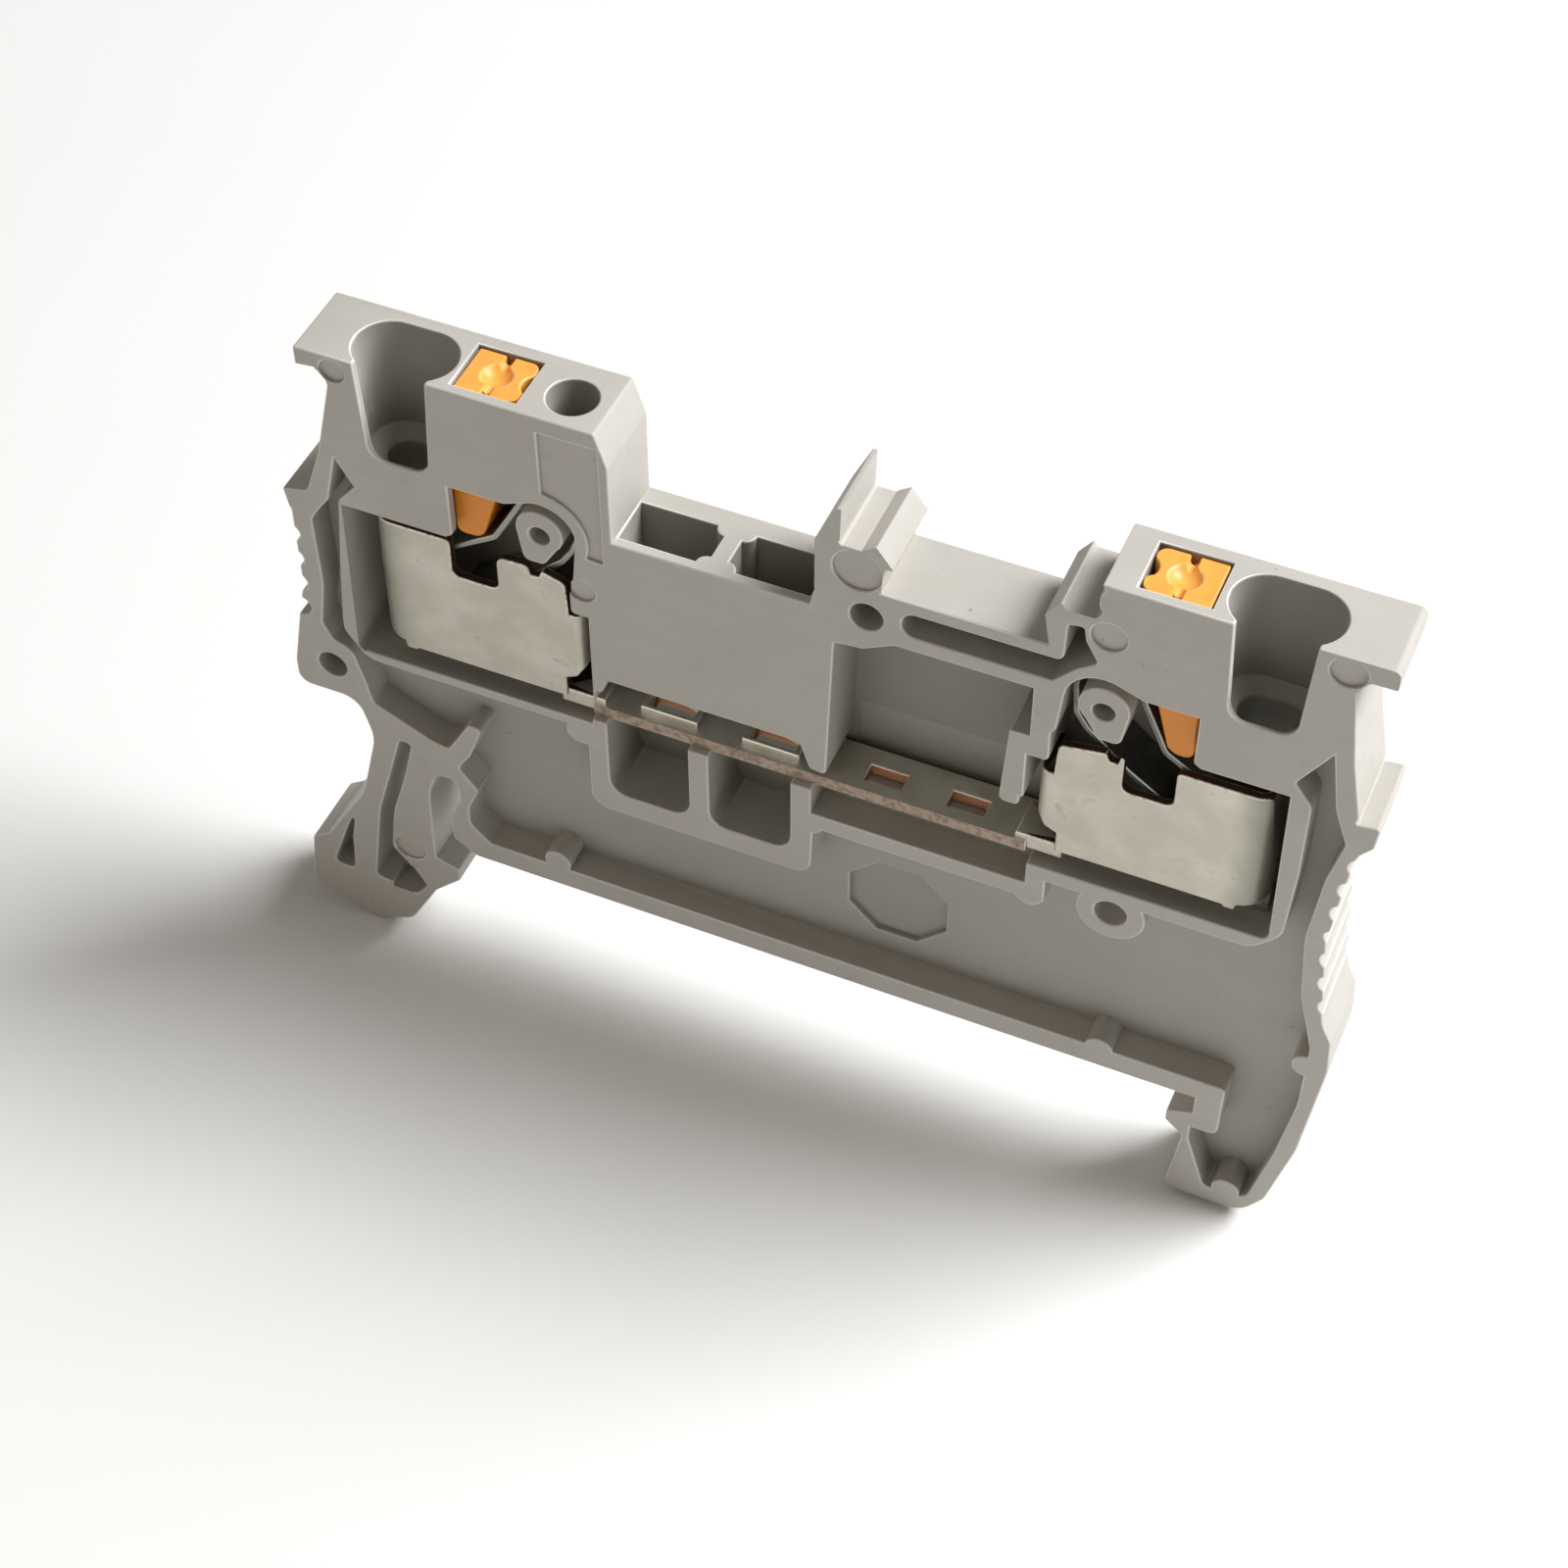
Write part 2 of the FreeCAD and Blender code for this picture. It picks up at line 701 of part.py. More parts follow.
def middle_rooms():
    """Bridge shafts, the slit over the bar, the bar's own seat and the centre pocket.

    The pocket's back wall is set back a little in its lower part.
    """
    shafts = [
        shaft(shaft_left, shaft_split, 1),
        shaft(shaft_split + split_web, shaft_right, -1),
    ]
    slit = [
        (-cage_inner + 0.45, bar_top + 0.45),
        (-cage_inner + 0.6, block_bottom - 0.75, 0.1),
        (-cage_inner + 0.85, block_bottom - 0.75, 0.1),
        (-cage_inner + 1.1, block_bottom),
        (shaft_right - 0.25, block_bottom, 0.1),
        (shaft_right + 0.2, bar_top + 0.6, 0.2),
        (shaft_right + 0.9, bar_top + 0.5, 0.2),
        (shaft_right + 1.15, centre_pocket_top - 0.8, 0.2),
        (shaft_right + 2.3, centre_pocket_top - 0.7, 0.6),
        (shaft_right + 3.6, centre_pocket_top, 0.2),
        (cage_inner - 0.4, centre_pocket_top),
        (cage_inner - 0.4, ceiling - 1.05),
        (cage_inner - 1.2, ceiling - 1.05),
        (cage_inner - 1.45, block_bottom + 0.35, 0.3),
        (cage_inner - 0.6, block_bottom + 0.35, 0.3),
        (cage_inner - 0.6, block_bottom + 0.9),
        (cage_inner, block_bottom + 0.9),
        (cage_inner, bar_bottom - bar_play),
        (-cage_inner, bar_bottom - bar_play),
        (-cage_inner, bar_top + 0.45),
    ]
    low_wall = block(
        shaft_right + 1.15,
        cage_inner - 1.45,
        compartment - overlap,
        compartment + wall_step,
        bar_bottom - bar_play,
        cage_floor + wall_step_rise,
    )
    return joined(shafts + [prism(slit, -overlap, compartment), low_wall])


def contact_pockets():
    """Two pockets under the bar that take the tips of a plug-in bridge."""
    pockets = []
    for i in range(2):
        x = pocket_left + i * (pocket_length + pocket_wall)
        corners = [
            (x, bar_top),
            (x + pocket_length, bar_top),
            (x + pocket_length, pocket_bottom, pocket_radius),
            (x, pocket_bottom, pocket_radius),
        ]
        pockets.append(prism(corners, -overlap, compartment))
    x = pocket_left + 2 * pocket_length + 2 * pocket_wall
    shelf = [
        (x, bar_bottom),
        (cage_inner - 0.1, bar_bottom),
        (cage_inner - 0.1, pocket_bottom + 2.7),
        (x, pocket_bottom + 2.7),
    ]
    pockets.append(prism(shelf, -overlap, web_setback))
    return joined(pockets)


def marker_slots():
    """Slot under the marker plate and the hollow beside the right tower."""
    low = marker_top - 1.8
    high = marker_top - marker_thickness
    end = right_tower_wall
    corners = [
        (centre_ridge + 3.5, low, 0.58),
        (end - 1.5, low, 0.2),
        (end - 0.6, low + 1.0, 0.4),
        (end + 0.15, marker_top - 0.25, 0.2),
        (end - 0.4, marker_top + 0.75, 0.3),
        (end - 0.5, marker_top + 1.4, 0.15),
        (end - 1.1, marker_top + 1.3, 0.15),
        (end - 1.15, high, 0.35),
        (centre_ridge + 3.5, high, 0.58),
    ]
    return prism(corners, -overlap, compartment)


def face_marks():
    """Shallow panel beside the test hole and round witness marks of the mould."""
    bow = boss_radius + leaf + panel_rim
    right_edge = left_tower_wall - 0.45
    panel = [(left_boss_x + 0.2, tower_top - 0.8), (right_edge, tower_top - 0.8)]
    panel += [(right_edge, left_boss_z - 0.7)]
    panel += arc_points(left_boss_x, left_boss_z, bow, -18, 84, 9)
    octagon = arc_points(octagon_x, octagon_z, octagon_radius, 22.5, 337.5, 8)
    marks = [
        prism(panel, -overlap, mark_depth),
        prism(octagon, web_setback - overlap, web_setback + octagon_depth),
        rod(centre_ridge + 1.7, marker_top + 0.8, 1.0, -overlap, mark_depth),
        rod(right_tower_wall + 0.45, marker_top + 1.25, 0.7, -overlap, mark_depth),
        rod(-cage_inner + 0.2, ceiling - 0.7, 0.6, -overlap, mark_depth),
        rod(left_lip + 1.6, tower_top - 0.75, 0.55, -overlap, mark_depth),
        rod(right_lip - 1.8, tower_top - 0.75, 0.7, -overlap, mark_depth),
        rod(-rail_edge - 1.25, -rail_sheet, 0.75, -overlap, mark_depth),
    ]
    return joined(marks)


def studs():
    """Round studs that stand on the web beside the ribs, flush with the open face."""
    places = [
        (-11.45, seat_rib + 0.3),
        (13.3, seat_rib - 0.1),
        (pocket_left - pocket_wall - 0.35, cage_floor - 0.8),
        (pocket_left + 2 * pocket_length + 2 * pocket_wall - 0.1, pocket_bottom + 2.1),
        (cage_inner + 0.1, pocket_bottom + 2.1),
        (hook_gap_x + 0.75, 4.35),
        (rail_edge + 1.9, foot_bottom + 1.1),
    ]
    return [rod(x, z, stud_radius, 0.0, web_setback + 0.1) for x, z in places]


def peg_collar():
    """Collar under the right cage that the next block's peg enters."""
    return rod(right_collar_x, cage_floor - 1.4, peg_hole + 0.75, 0.0, web_setback + 0.1)


def peg_holes():
    places = [
        (left_skin_x + 0.85, cage_floor - 1.55),
        (centre_ridge + 2.1, deck_top + 0.2),
        (right_collar_x, cage_floor - 1.4),
    ]
    return [rod(x, z, peg_hole, -overlap, compartment) for x, z in places]


def grip_scallops():
    """Small round cuts that roughen the outer edge at both ends for the fingers."""
    cuts = []
    far = block_width + overlap
    for i in range(4):
        z = ceiling - 2.55 - i * grip_pitch
        cuts.append(rod(left_skin_x - grip_radius + grip_cut, z, grip_radius, -overlap, far))
    waist = cage_floor + 1.2
    reach = ceiling - 2.1 - (cage_floor - 3.9)
    for i in range(int(reach / grip_pitch)):
        z = ceiling - 2.75 - i * grip_pitch
        bow = 0.5 * (2 * (z - waist) / reach) ** 2
        x = right_skin_x - 0.08 + bow + grip_radius - grip_cut
        cuts.append(rod(x, z, grip_radius, -overlap, far))
    return cuts


def housing():
    """The one-piece grey moulding."""
    body = bare_housing()
    body = joined([body, peg_collar()] + studs())
    cuts = [clamp_room(left), clamp_room(right), middle_rooms(), contact_pockets(), marker_slots()]
    cuts += [pusher_channel(left), pusher_channel(right), funnel(left), funnel(right)]
    cuts += [face_marks()] + peg_holes() + grip_scallops()
    test_height = tower_rise + overlap - test_hole_rise
    test_y = front_wall + 0.1 + test_hole_radius
    test_foot = vec(test_hole_x, ceiling + test_hole_rise, test_y)
    cuts.append(Part.makeCylinder(test_hole_radius, test_height, test_foot))
    body = body.cut(joined(cuts))
    return joined([body, boss(left), boss(right)])


def cage_pan(side, inset, low, high):
    """Upright tray with the cage's plan, open at the back; its tight bends are square inside."""
    back = bar_front + cage_depth
    ends = span(side, cage_inner + inset, cage_reach - inset)
    pan = block(*ends, bar_front + inset, back + (overlap if inset else 0.0), low, high)
    for reach, bend in ((cage_reach - inset, outer_bend), (cage_inner + inset, inner_bend)):
        if bend - inset > sheet / 4:
            corner_edges = [e for e in pan.Edges if stands_at(e, side.sign * reach, bar_front + inset)]
            pan = pan.makeFillet(bend - inset, corner_edges)
    return pan


def stands_at(edge, x, y):
    """True for an upright edge over one point of the plan."""
    places = [vertex.Point for vertex in edge.Vertexes]
    return all(abs(p.x - x) < 1e-6 and abs(p.y - y) < 1e-6 for p in places)


def cage(side):
    """Open-backed cage: a notched front plate bent round into two walls, and a folded floor."""
    low = cage_floor + bar_play
    high = low + cage_height - side.plate_drop
    lift = low + plate_lift
    crest = abs(side.boss_x) + 0.35
    inner_notch = side.notch_outer - notch_width
    plate = [
        (cage_reach - 0.35, high, 0.15),
        (cage_reach + 0.1, lift + 0.45),
        (cage_reach - 1.05, lift + 0.2, 0.1),
        (cage_reach - 1.15, lift - plate_tab, 0.05),
        (cage_reach - 1.55, lift - plate_tab, 0.05),
        (cage_reach - 1.65, lift),
        (cage_inner + 0.9, lift),
        (cage_inner + 0.9, lift + 1.05),
        (cage_inner + 0.4, lift + 1.3, 0.3),
        (cage_inner - 0.1, lift + 2.1, 0.8),
        (cage_inner - 0.1, high - 2.1),
        (cage_inner + 0.6, high - 2.1),
        (cage_inner + 0.68, high - 0.45, 0.3),
        (crest - 0.15, high - 0.12),
        (crest, high - crest_notch, 0.1),
        (crest + 0.35, high - crest_notch, 0.1),
        (crest + 0.45, high - 0.05, 0.25),
        (inner_notch, high - 0.1, 0.4),
        (inner_notch, high - notch_depth, 0.35),
        (side.notch_outer, high - notch_depth, 0.35),
        (side.notch_outer, high, 0.2),
    ]
    deep = bar_front + cage_depth
    bent = cage_pan(side, 0.0, low, high).cut(cage_pan(side, sheet, low - overlap, high + overlap))
    bent = bent.common(prism(mirrored(side, plate), bar_front - overlap, deep + overlap))
    floor_front = bar_front + outer_bend
    foot = block(*span(side, cage_reach - sheet, cage_reach), floor_front, deep, low, lift + 1.0)
    floor = block(*span(side, cage_inner + 0.9, cage_reach), floor_front, deep, low, low + sheet)
    return [bent, foot, floor]


def span(side, inner, outer):
    """Lower and upper X of a stretch given outward from the middle."""
    return sorted([side.sign * inner, side.sign * outer])


def current_bar():
    """One folded strip: the bar, its collars and holes, its necks and both cages."""
    back = bar_front + bar_depth
    bar = block(-bar_half_length, bar_half_length, bar_front, back, bar_bottom, bar_top)
    pieces = [bar]
    for side in (left, right):
        pieces += cage(side)
        ends = span(side, bar_half_length - 0.5, cage_inner + 1.2)
        low = bar_bottom + 0.15
        pieces.append(block(*ends, bar_front + 0.1, back - 0.4, low, low + neck_height))
    collar_y = front_wall + collar_front
    deep = shaft_depth - 2 * collar_front
    for centre in bridge_centres():
        x = centre - collar_length / 2
        ends = (x, x + collar_length, collar_y - 0.2, collar_y + deep)
        pieces.append(block(*ends, bar_top - 0.1, bar_top + collar_height))
    holes = []
    for centre in bridge_centres():
        x = centre - collar_length / 2 + collar_wall
        holes.append((x, x + collar_length - 2 * collar_wall, collar_y, collar_y + deep - 0.3))
    for x in bar_hole_places:
        holes.append((x, x + hole_length, hole_front, hole_front + hole_depth))
    cuts = [block(*ends, bar_bottom - overlap, bar_top + overlap) for ends in holes]
    return joined(pieces).cut(cuts)


def bridge_centres():
    """Middle of each bridge shaft along the block."""
    first = (shaft_left + shaft_split) / 2 - 0.1
    second = (shaft_split + split_web + shaft_right) / 2
    return [first, second]


def on_bow(angle):
    """Point of the bow's centre line at an angle in degrees, from the boss outward and up."""
    turn = math.radians(angle)
    return (bow_radius * math.cos(turn) - bow_shift, bow_radius * math.sin(turn))


def onward(point, slope, run):
    """Point at a distance down a slope, given in degrees below the outward direction."""
    turn = math.radians(slope)
    return (point[0] + run * math.cos(turn), point[1] - run * math.sin(turn))


def spring_legs(side):
    """Centre lines of the clamping leg and of the brace, both from the bow to their ends."""
    leave = on_bow(90 - side.leg_slope)
    steep = (side.leg_kink - leave[0]) / math.cos(math.radians(side.leg_slope))
    kink = onward(leave, side.leg_slope, steep)
    reach = cage_reach - sheet - blade_gap - abs(side.boss_x)
    tip = onward(kink, blade_slope, (reach - kink[0]) / math.cos(math.radians(blade_slope)))
    brace = [on_bow(side.bow_end)]
    brace.append(onward(brace[-1], 270 - side.bow_end, side.brace))
    brace.append(onward(brace[-1], brace_turn_slope, brace_turn))
    brace.append(onward(brace[-1], brace_cross_slope, brace_cross))
    left_over = reach + blade_gap - side.brace_gap - brace[-1][0]
    brace.append(onward(brace[-1], brace_end_slope, left_over / math.cos(math.radians(brace_end_slope))))
    return [leave, kink, tip], brace


def clamp_spring(side):
    """Leaf bent round the boss, with a clamping blade and a brace that crosses the cage."""
    half = leaf / 2
    clamping, brace = spring_legs(side)
    ring = rod(-bow_shift, 0, bow_radius + half, 0, leaf_width)
    ring = ring.cut(rod(-bow_shift, 0, bow_radius - half, -overlap, leaf_width + overlap))
    far = 2 * bow_radius
    mouth = [(-bow_shift, 0), onward(clamping[0], side.leg_slope - 90, far), (far, -far), (-far, -far)]
    mouth.append(onward(brace[0], -side.bow_end, far))
    ring = ring.cut(prism(mouth, -overlap, leaf_width + overlap))
    pieces = [ring]
    for leg in (clamping, brace):
        pieces += [strip(start, end, half) for start, end in zip(leg, leg[1:])]
        pieces += [rod(*point, half, 0, leaf_width) for point in leg[1:-1]]
    body = joined(pieces)
    if side.sign < 0:
        body = body.mirror(FreeCAD.Vector(0, 0, 0), FreeCAD.Vector(1, 0, 0))
    body.translate(FreeCAD.Vector(side.boss_x, compartment - leaf_width - leaf_play, side.boss_z))
    return body


def strip(start, end, half):
    """Straight length of leaf between two points of its centre line."""
    along = vec(end[0] - start[0], end[1] - start[1])
    along.normalize()
    across = vec(-along.z, along.x) * half
    a = vec(*start)
    b = vec(*end)
    corners = [a + across, b + across, b - across, a - across]
    return prism([(p.x, p.z) for p in corners], 0, leaf_width)


def pusher(side):
    """Sliding release pusher: lobed head with a screwdriver groove, and a wedge tip."""
    front = front_wall + pusher_play
    back = front + pusher_depth
    middle = (front + back) / 2
    top = tower_top - pusher_top_gap
    body = prism(mirrored(side, pusher_profile(side)), front, back)
    behind_plate = bar_front + sheet + pusher_play
    relief_top = side.window_top + 0.4
    relief = block(-cage_reach, cage_reach, front - overlap, behind_plate,
                   side.wedge_tip - overlap, relief_top)
    body = body.cut(relief)
    inner = side.head_outer - side.sign * head_width
    lobe_foot = top - head_length + 0.4
    notch_x = inner + side.sign * (lobe_notch - lobe_radius)
    notches = [Part.makeCylinder(lobe_radius, head_length, FreeCAD.Vector(notch_x, middle, lobe_foot))]
    for y, inward in ((front, 1), (back, -1)):
        edge = block(*span(side, abs(inner) - overlap, abs(inner) + lobe_round), y - lobe_round,
                     y + lobe_round, lobe_foot, top + overlap)
        round_foot = FreeCAD.Vector(inner + side.sign * lobe_round, y + inward * lobe_round, lobe_foot)
        notches.append(edge.cut(Part.makeCylinder(lobe_round, head_length + overlap, round_foot)))
    groove_x = side.head_outer - side.sign * head_width / 2
    wide = groove_width / 2 * (1 + overlap / groove_drop)
    vee = [(groove_x - wide, top + overlap), (groove_x + wide, top + overlap)]
    vee.append((groove_x, top - groove_drop, 0.15))
    notches.append(prism(vee, front - overlap, back + overlap))
    half = groove_end_width / 2
    for y in (front, back):
        notches.append(block(groove_x - half, groove_x + half, y - groove_end, y + groove_end,
                             top - groove_end_drop, top + overlap))
    ball = (dimple_radius ** 2 + dimple_drop ** 2) / (2 * dimple_drop)
    centre = FreeCAD.Vector(groove_x, middle, top - dimple_drop + ball)
    return body.cut(notches + [Part.makeSphere(ball, centre)])


def save(name, shape):
    if len(shape.Solids) == 1:
        shape = shape.Solids[0]
    shape.exportStep("parts/" + name + ".step")
    box = shape.BoundBox
    print(name, len(shape.Solids), shape.isValid(), round(shape.Volume, 2))
    print("  ", [round(v, 2) for v in (box.XMin, box.XMax, box.YMin, box.YMax, box.ZMin, box.ZMax)])


save("housing", housing())
save("current_bar", current_bar())
save("clamp_spring_left", clamp_spring(left))
save("clamp_spring_right", clamp_spring(right))
save("release_pusher_left", pusher(left))
save("release_pusher_right", pusher(right))
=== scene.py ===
import math

import bmesh
import bpy
from mathutils import Matrix, Vector
from mathutils.bvhtree import BVHTree
from mathutils.kdtree import KDTree
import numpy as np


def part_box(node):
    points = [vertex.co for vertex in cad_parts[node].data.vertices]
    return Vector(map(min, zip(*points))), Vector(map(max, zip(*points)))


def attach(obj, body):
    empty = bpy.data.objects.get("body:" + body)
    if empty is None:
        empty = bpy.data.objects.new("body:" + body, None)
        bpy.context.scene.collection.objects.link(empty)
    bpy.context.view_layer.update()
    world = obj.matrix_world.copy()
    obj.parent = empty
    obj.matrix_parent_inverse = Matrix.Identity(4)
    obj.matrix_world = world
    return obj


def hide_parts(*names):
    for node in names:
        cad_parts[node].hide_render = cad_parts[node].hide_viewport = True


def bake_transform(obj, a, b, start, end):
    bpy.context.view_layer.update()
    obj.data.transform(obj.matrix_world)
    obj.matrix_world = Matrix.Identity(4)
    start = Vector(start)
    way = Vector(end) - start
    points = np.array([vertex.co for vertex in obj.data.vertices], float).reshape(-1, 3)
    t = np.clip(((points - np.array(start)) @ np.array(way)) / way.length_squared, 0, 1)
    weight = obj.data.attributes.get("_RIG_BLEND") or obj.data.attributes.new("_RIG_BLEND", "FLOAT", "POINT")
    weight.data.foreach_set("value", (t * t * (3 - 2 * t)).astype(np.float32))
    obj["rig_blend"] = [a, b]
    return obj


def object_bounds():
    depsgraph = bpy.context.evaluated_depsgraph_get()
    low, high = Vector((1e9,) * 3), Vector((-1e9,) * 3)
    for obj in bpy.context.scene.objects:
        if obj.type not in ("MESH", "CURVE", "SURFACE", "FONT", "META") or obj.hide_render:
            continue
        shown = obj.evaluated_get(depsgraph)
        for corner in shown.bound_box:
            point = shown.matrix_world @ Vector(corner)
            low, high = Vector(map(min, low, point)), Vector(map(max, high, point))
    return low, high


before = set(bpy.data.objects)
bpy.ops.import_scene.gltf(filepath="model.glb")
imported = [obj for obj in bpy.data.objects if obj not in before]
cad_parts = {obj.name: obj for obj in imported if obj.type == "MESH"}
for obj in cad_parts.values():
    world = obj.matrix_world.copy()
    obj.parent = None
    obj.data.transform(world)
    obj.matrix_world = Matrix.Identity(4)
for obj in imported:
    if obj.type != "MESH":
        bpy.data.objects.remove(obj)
cad_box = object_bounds()


# Housing: one thin moulding of light grey, lightly textured plastic. Its rounded outer edges are
# smoother than the faces and carry a painted highlight, and its recessed faces are darkened with
# painted shade, darker the deeper they lie. Round pins have left witness marks in it.
mm = 0.001
housing_radius = 0.07
grey_plastic = (0.485, 0.458, 0.412)
pale_plastic = (0.520, 0.496, 0.455)
highlight_plastic = (0.740, 0.725, 0.690)
recess_shade_grey = (0.200, 0.196, 0.168)
stained_plastic = (0.370, 0.345, 0.300)
flecked_plastic = (0.200, 0.180, 0.160)
deepest_wall = 2.85
set_back_from = 2.90
set_back_to = 2.94
widest_pocket = 7.2
eye_lift = 0.02
joined_distance = 0.02
flat_angle = 1.5
round_strip_angle = 60
flat_face_angle = 20


class Signal:
    """One output socket of a material. Arithmetic on it adds Math nodes."""

    def __init__(self, socket):
        self.socket = socket

    def node(self, kind, settings, inputs, output=0):
        """Adds any node: its settings first, then a value or a link for each socket named."""
        made = self.socket.id_data.nodes.new("ShaderNode" + kind)
        for name, value in settings.items():
            setattr(made, name, value)
        for name, value in inputs.items():
            if isinstance(value, Signal):
                made.id_data.links.new(value.socket, made.inputs[name])
            else:
                made.inputs[name].default_value = value
        return Signal(made.outputs[output])

    def maths(self, operation, first, second=0.0):
        return self.node("Math", {"operation": operation}, {0: first, 1: second})

    def __add__(self, other):
        return self.maths("ADD", self, other)

    def __sub__(self, other):
        return self.maths("SUBTRACT", self, other)

    def __mul__(self, other):
        return self.maths("MULTIPLY", self, other)

    def __truediv__(self, other):
        return self.maths("DIVIDE", self, other)

    def __rsub__(self, other):
        return self.maths("SUBTRACT", other, self)

    __radd__ = __add__
    __rmul__ = __mul__

    def noise(self, scale, detail=3.0, roughness=0.5):
        return self.node("TexNoise", {}, {"Vector": self, "Scale": scale, "Detail": detail,
                                          "Roughness": roughness})

    def between(self, low, high):
        """0 below low and 1 above high, eased between them."""
        return self.node("MapRange", {"interpolation_type": "SMOOTHSTEP"},
                         {"Value": self, "From Min": low, "From Max": high})

    def axis(self, number):
        """One of the three components of a place."""
        return self.node("SeparateXYZ", {}, {0: self}, number)

    def stretched(self, x, y, z):
        return self.node("VectorMath", {"operation": "MULTIPLY"}, {0: self, 1: (x, y, z)})

    def mixed(self, first, second):
        """Colour between two, by this signal."""
        shades = [s if isinstance(s, Signal) else (*s, 1.0) for s in (first, second)]
        return self.node("Mix", {"data_type": "RGBA"}, {0: self, 6: shades[0], 7: shades[1]}, 2)

    def bump(self, strength, distance):
        return self.node("Bump", {}, {"Height": self, "Strength": strength, "Distance": distance})

    def attribute(self, name):
        return self.node("Attribute", {"attribute_name": name}, {}, "Fac")


def new_finish(name):
    """A material, its place in millimetres as a signal, and its shader's sockets."""
    material = bpy.data.materials.new(name)
    material.use_nodes = True
    tree = material.node_tree
    place = Signal(tree.nodes.new("ShaderNodeTexCoord").outputs["Object"])
    return material, place.stretched(1 / mm, 1 / mm, 1 / mm), tree.nodes["Principled BSDF"].inputs


def feed(sockets, **values):
    """Sets or links the shader's sockets, named with _ for a space."""
    for name, value in values.items():
        socket = sockets[name.replace("_", " ")]
        if isinstance(value, Signal):
            socket.id_data.links.new(value.socket, socket)
        else:
            socket.default_value = value


def merged_copy(node):
    """A CAD node's solid in millimetres, its loose triangles joined into whole faces."""
    shape = bmesh.new()
    shape.from_mesh(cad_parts[node].data)
    bmesh.ops.scale(shape, vec=(1 / mm,) * 3, verts=shape.verts)
    bmesh.ops.remove_doubles(shape, verts=shape.verts, dist=joined_distance)
    bmesh.ops.dissolve_limit(shape, angle_limit=math.radians(flat_angle), verts=shape.verts,
                             edges=shape.edges)
    bmesh.ops.triangulate(shape, faces=shape.faces, quad_method="BEAUTY", ngon_method="BEAUTY")
    return shape


def folds(shape, surface, radius):
    """Middles of the faces that rounding has folded over or thrown off the solid's surface."""
    sliver, small = 1e-5, 2e-4
    most_gap, most_stray = 0.6 * radius, 0.9 * radius
    places = []
    for face in shape.faces:
        middle = face.calc_center_median()
        normal, gap = surface.find_nearest(middle)[1::2]
        stray = max(surface.find_nearest(v.co)[3] for v in face.verts)
        over = face.calc_area() > small and normal.dot(face.normal) < -0.2
        if face.calc_area() > sliver and (over or gap > most_gap or stray > most_stray):
            places.append(middle)
    return places


def clear_of(places, edge, reach):
    """Whether the whole edge keeps its distance from every place in the tree."""
    stride = 0.1
    start, end = (v.co for v in edge.verts)
    steps = int(edge.calc_length() / stride) + 1
    return all(places.find(start.lerp(end, i / steps))[2] > reach for i in range(steps + 1))


def rounded(base, radius, angle=35, trials=5):
    """The base with its convex edges rounded. Where rounding would fold, edges stay sharp."""
    surface = BVHTree.FromBMesh(base)
    reach = 2.5 * radius
    spoilt = []
    for _ in range(trials):
        shape = base.copy()
        rounded_edge = shape.faces.layers.float.new("rounded_edge")
        places = KDTree(len(spoilt))
        for i, place in enumerate(spoilt):
            places.insert(place, i)
        places.balance()
        edges = [e for e in shape.edges
                 if e.is_manifold and e.calc_face_angle_signed() > math.radians(angle)
                 and (not spoilt or clear_of(places, e, reach))]
        made = bmesh.ops.bevel(shape, geom=edges, offset=radius, offset_type="OFFSET",
                               affect="EDGES", segments=2, profile=0.5, material=-1,
                               clamp_overlap=False)
        for face in made["faces"]:
            face[rounded_edge] = 1.0
        bmesh.ops.triangulate(shape, faces=shape.faces)
        shape.normal_update()
        found = folds(shape, surface, radius)
        if not found:
            break
        spoilt += found
    return shape


def finished(name, shape, material, body):
    """Object from a shape in millimetres, shaded smooth but for its sharp edges."""
    rounded_edge = shape.faces.layers.float["rounded_edge"]
    for edge in shape.edges:
        kinds = {face[rounded_edge] for face in edge.link_faces}
        limit = round_strip_angle if kinds == {1.0} else flat_face_angle
        edge.smooth = len(kinds) == 1 and edge.calc_face_angle(0.0) < math.radians(limit)
    for face in shape.faces:
        face.smooth = True
    bmesh.ops.scale(shape, vec=(mm,) * 3, verts=shape.verts)
    mesh = bpy.data.meshes.new(name)
    shape.to_mesh(mesh)
    shape.free()
    mesh.materials.append(material)
    piece = bpy.data.objects.new(name, mesh)
    bpy.context.scene.collection.objects.link(piece)
    if body:
        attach(piece, body)
    return piece


moulding, place, sockets = new_finish("light grey moulded plastic")
grain = place.noise(7.0, 4.0, 0.6)
cloud = place.noise(0.22, 3.0)
flow = place.stretched(0.25, 1.0, 1.6).noise(0.9, 2.0)
smudge = place.noise(0.7, 5.0, 0.65).between(0.56, 0.76)
fleck = place.noise(2.6, 1.0).between(0.775, 0.80)
rounded_edge = place.attribute("rounded_edge")
depth = place.axis(1)
# painted shade: faces inside pockets grow darker the deeper they lie, a little less on the set-back lower
# wall
recess_shade = place.attribute("inner") * (depth / deepest_wall).between(0.0, 1.0)
recess_shade = recess_shade * (1 - depth.between(set_back_from, set_back_to) * 0.3)
tint = (cloud * 0.5 + flow * 0.3).between(0.25, 0.60).mixed(grey_plastic, pale_plastic)
tint = (smudge * 0.30).mixed(tint, stained_plastic)
tint = (recess_shade * 0.75).mixed(tint, recess_shade_grey)
# painted highlight: the rounded edges are painted paler, except deep in recesses
tint = (rounded_edge * (1 - recess_shade) * 0.80).mixed(tint, highlight_plastic)
tint = (fleck * 0.45).mixed(tint, flecked_plastic)
feed(sockets, Base_Color=tint, Roughness=0.50 + grain * 0.16 - rounded_edge * 0.12,
     Normal=(grain * (1 - rounded_edge * 0.7)).bump(0.35, 0.012 * mm), Specular_IOR_Level=0.45)

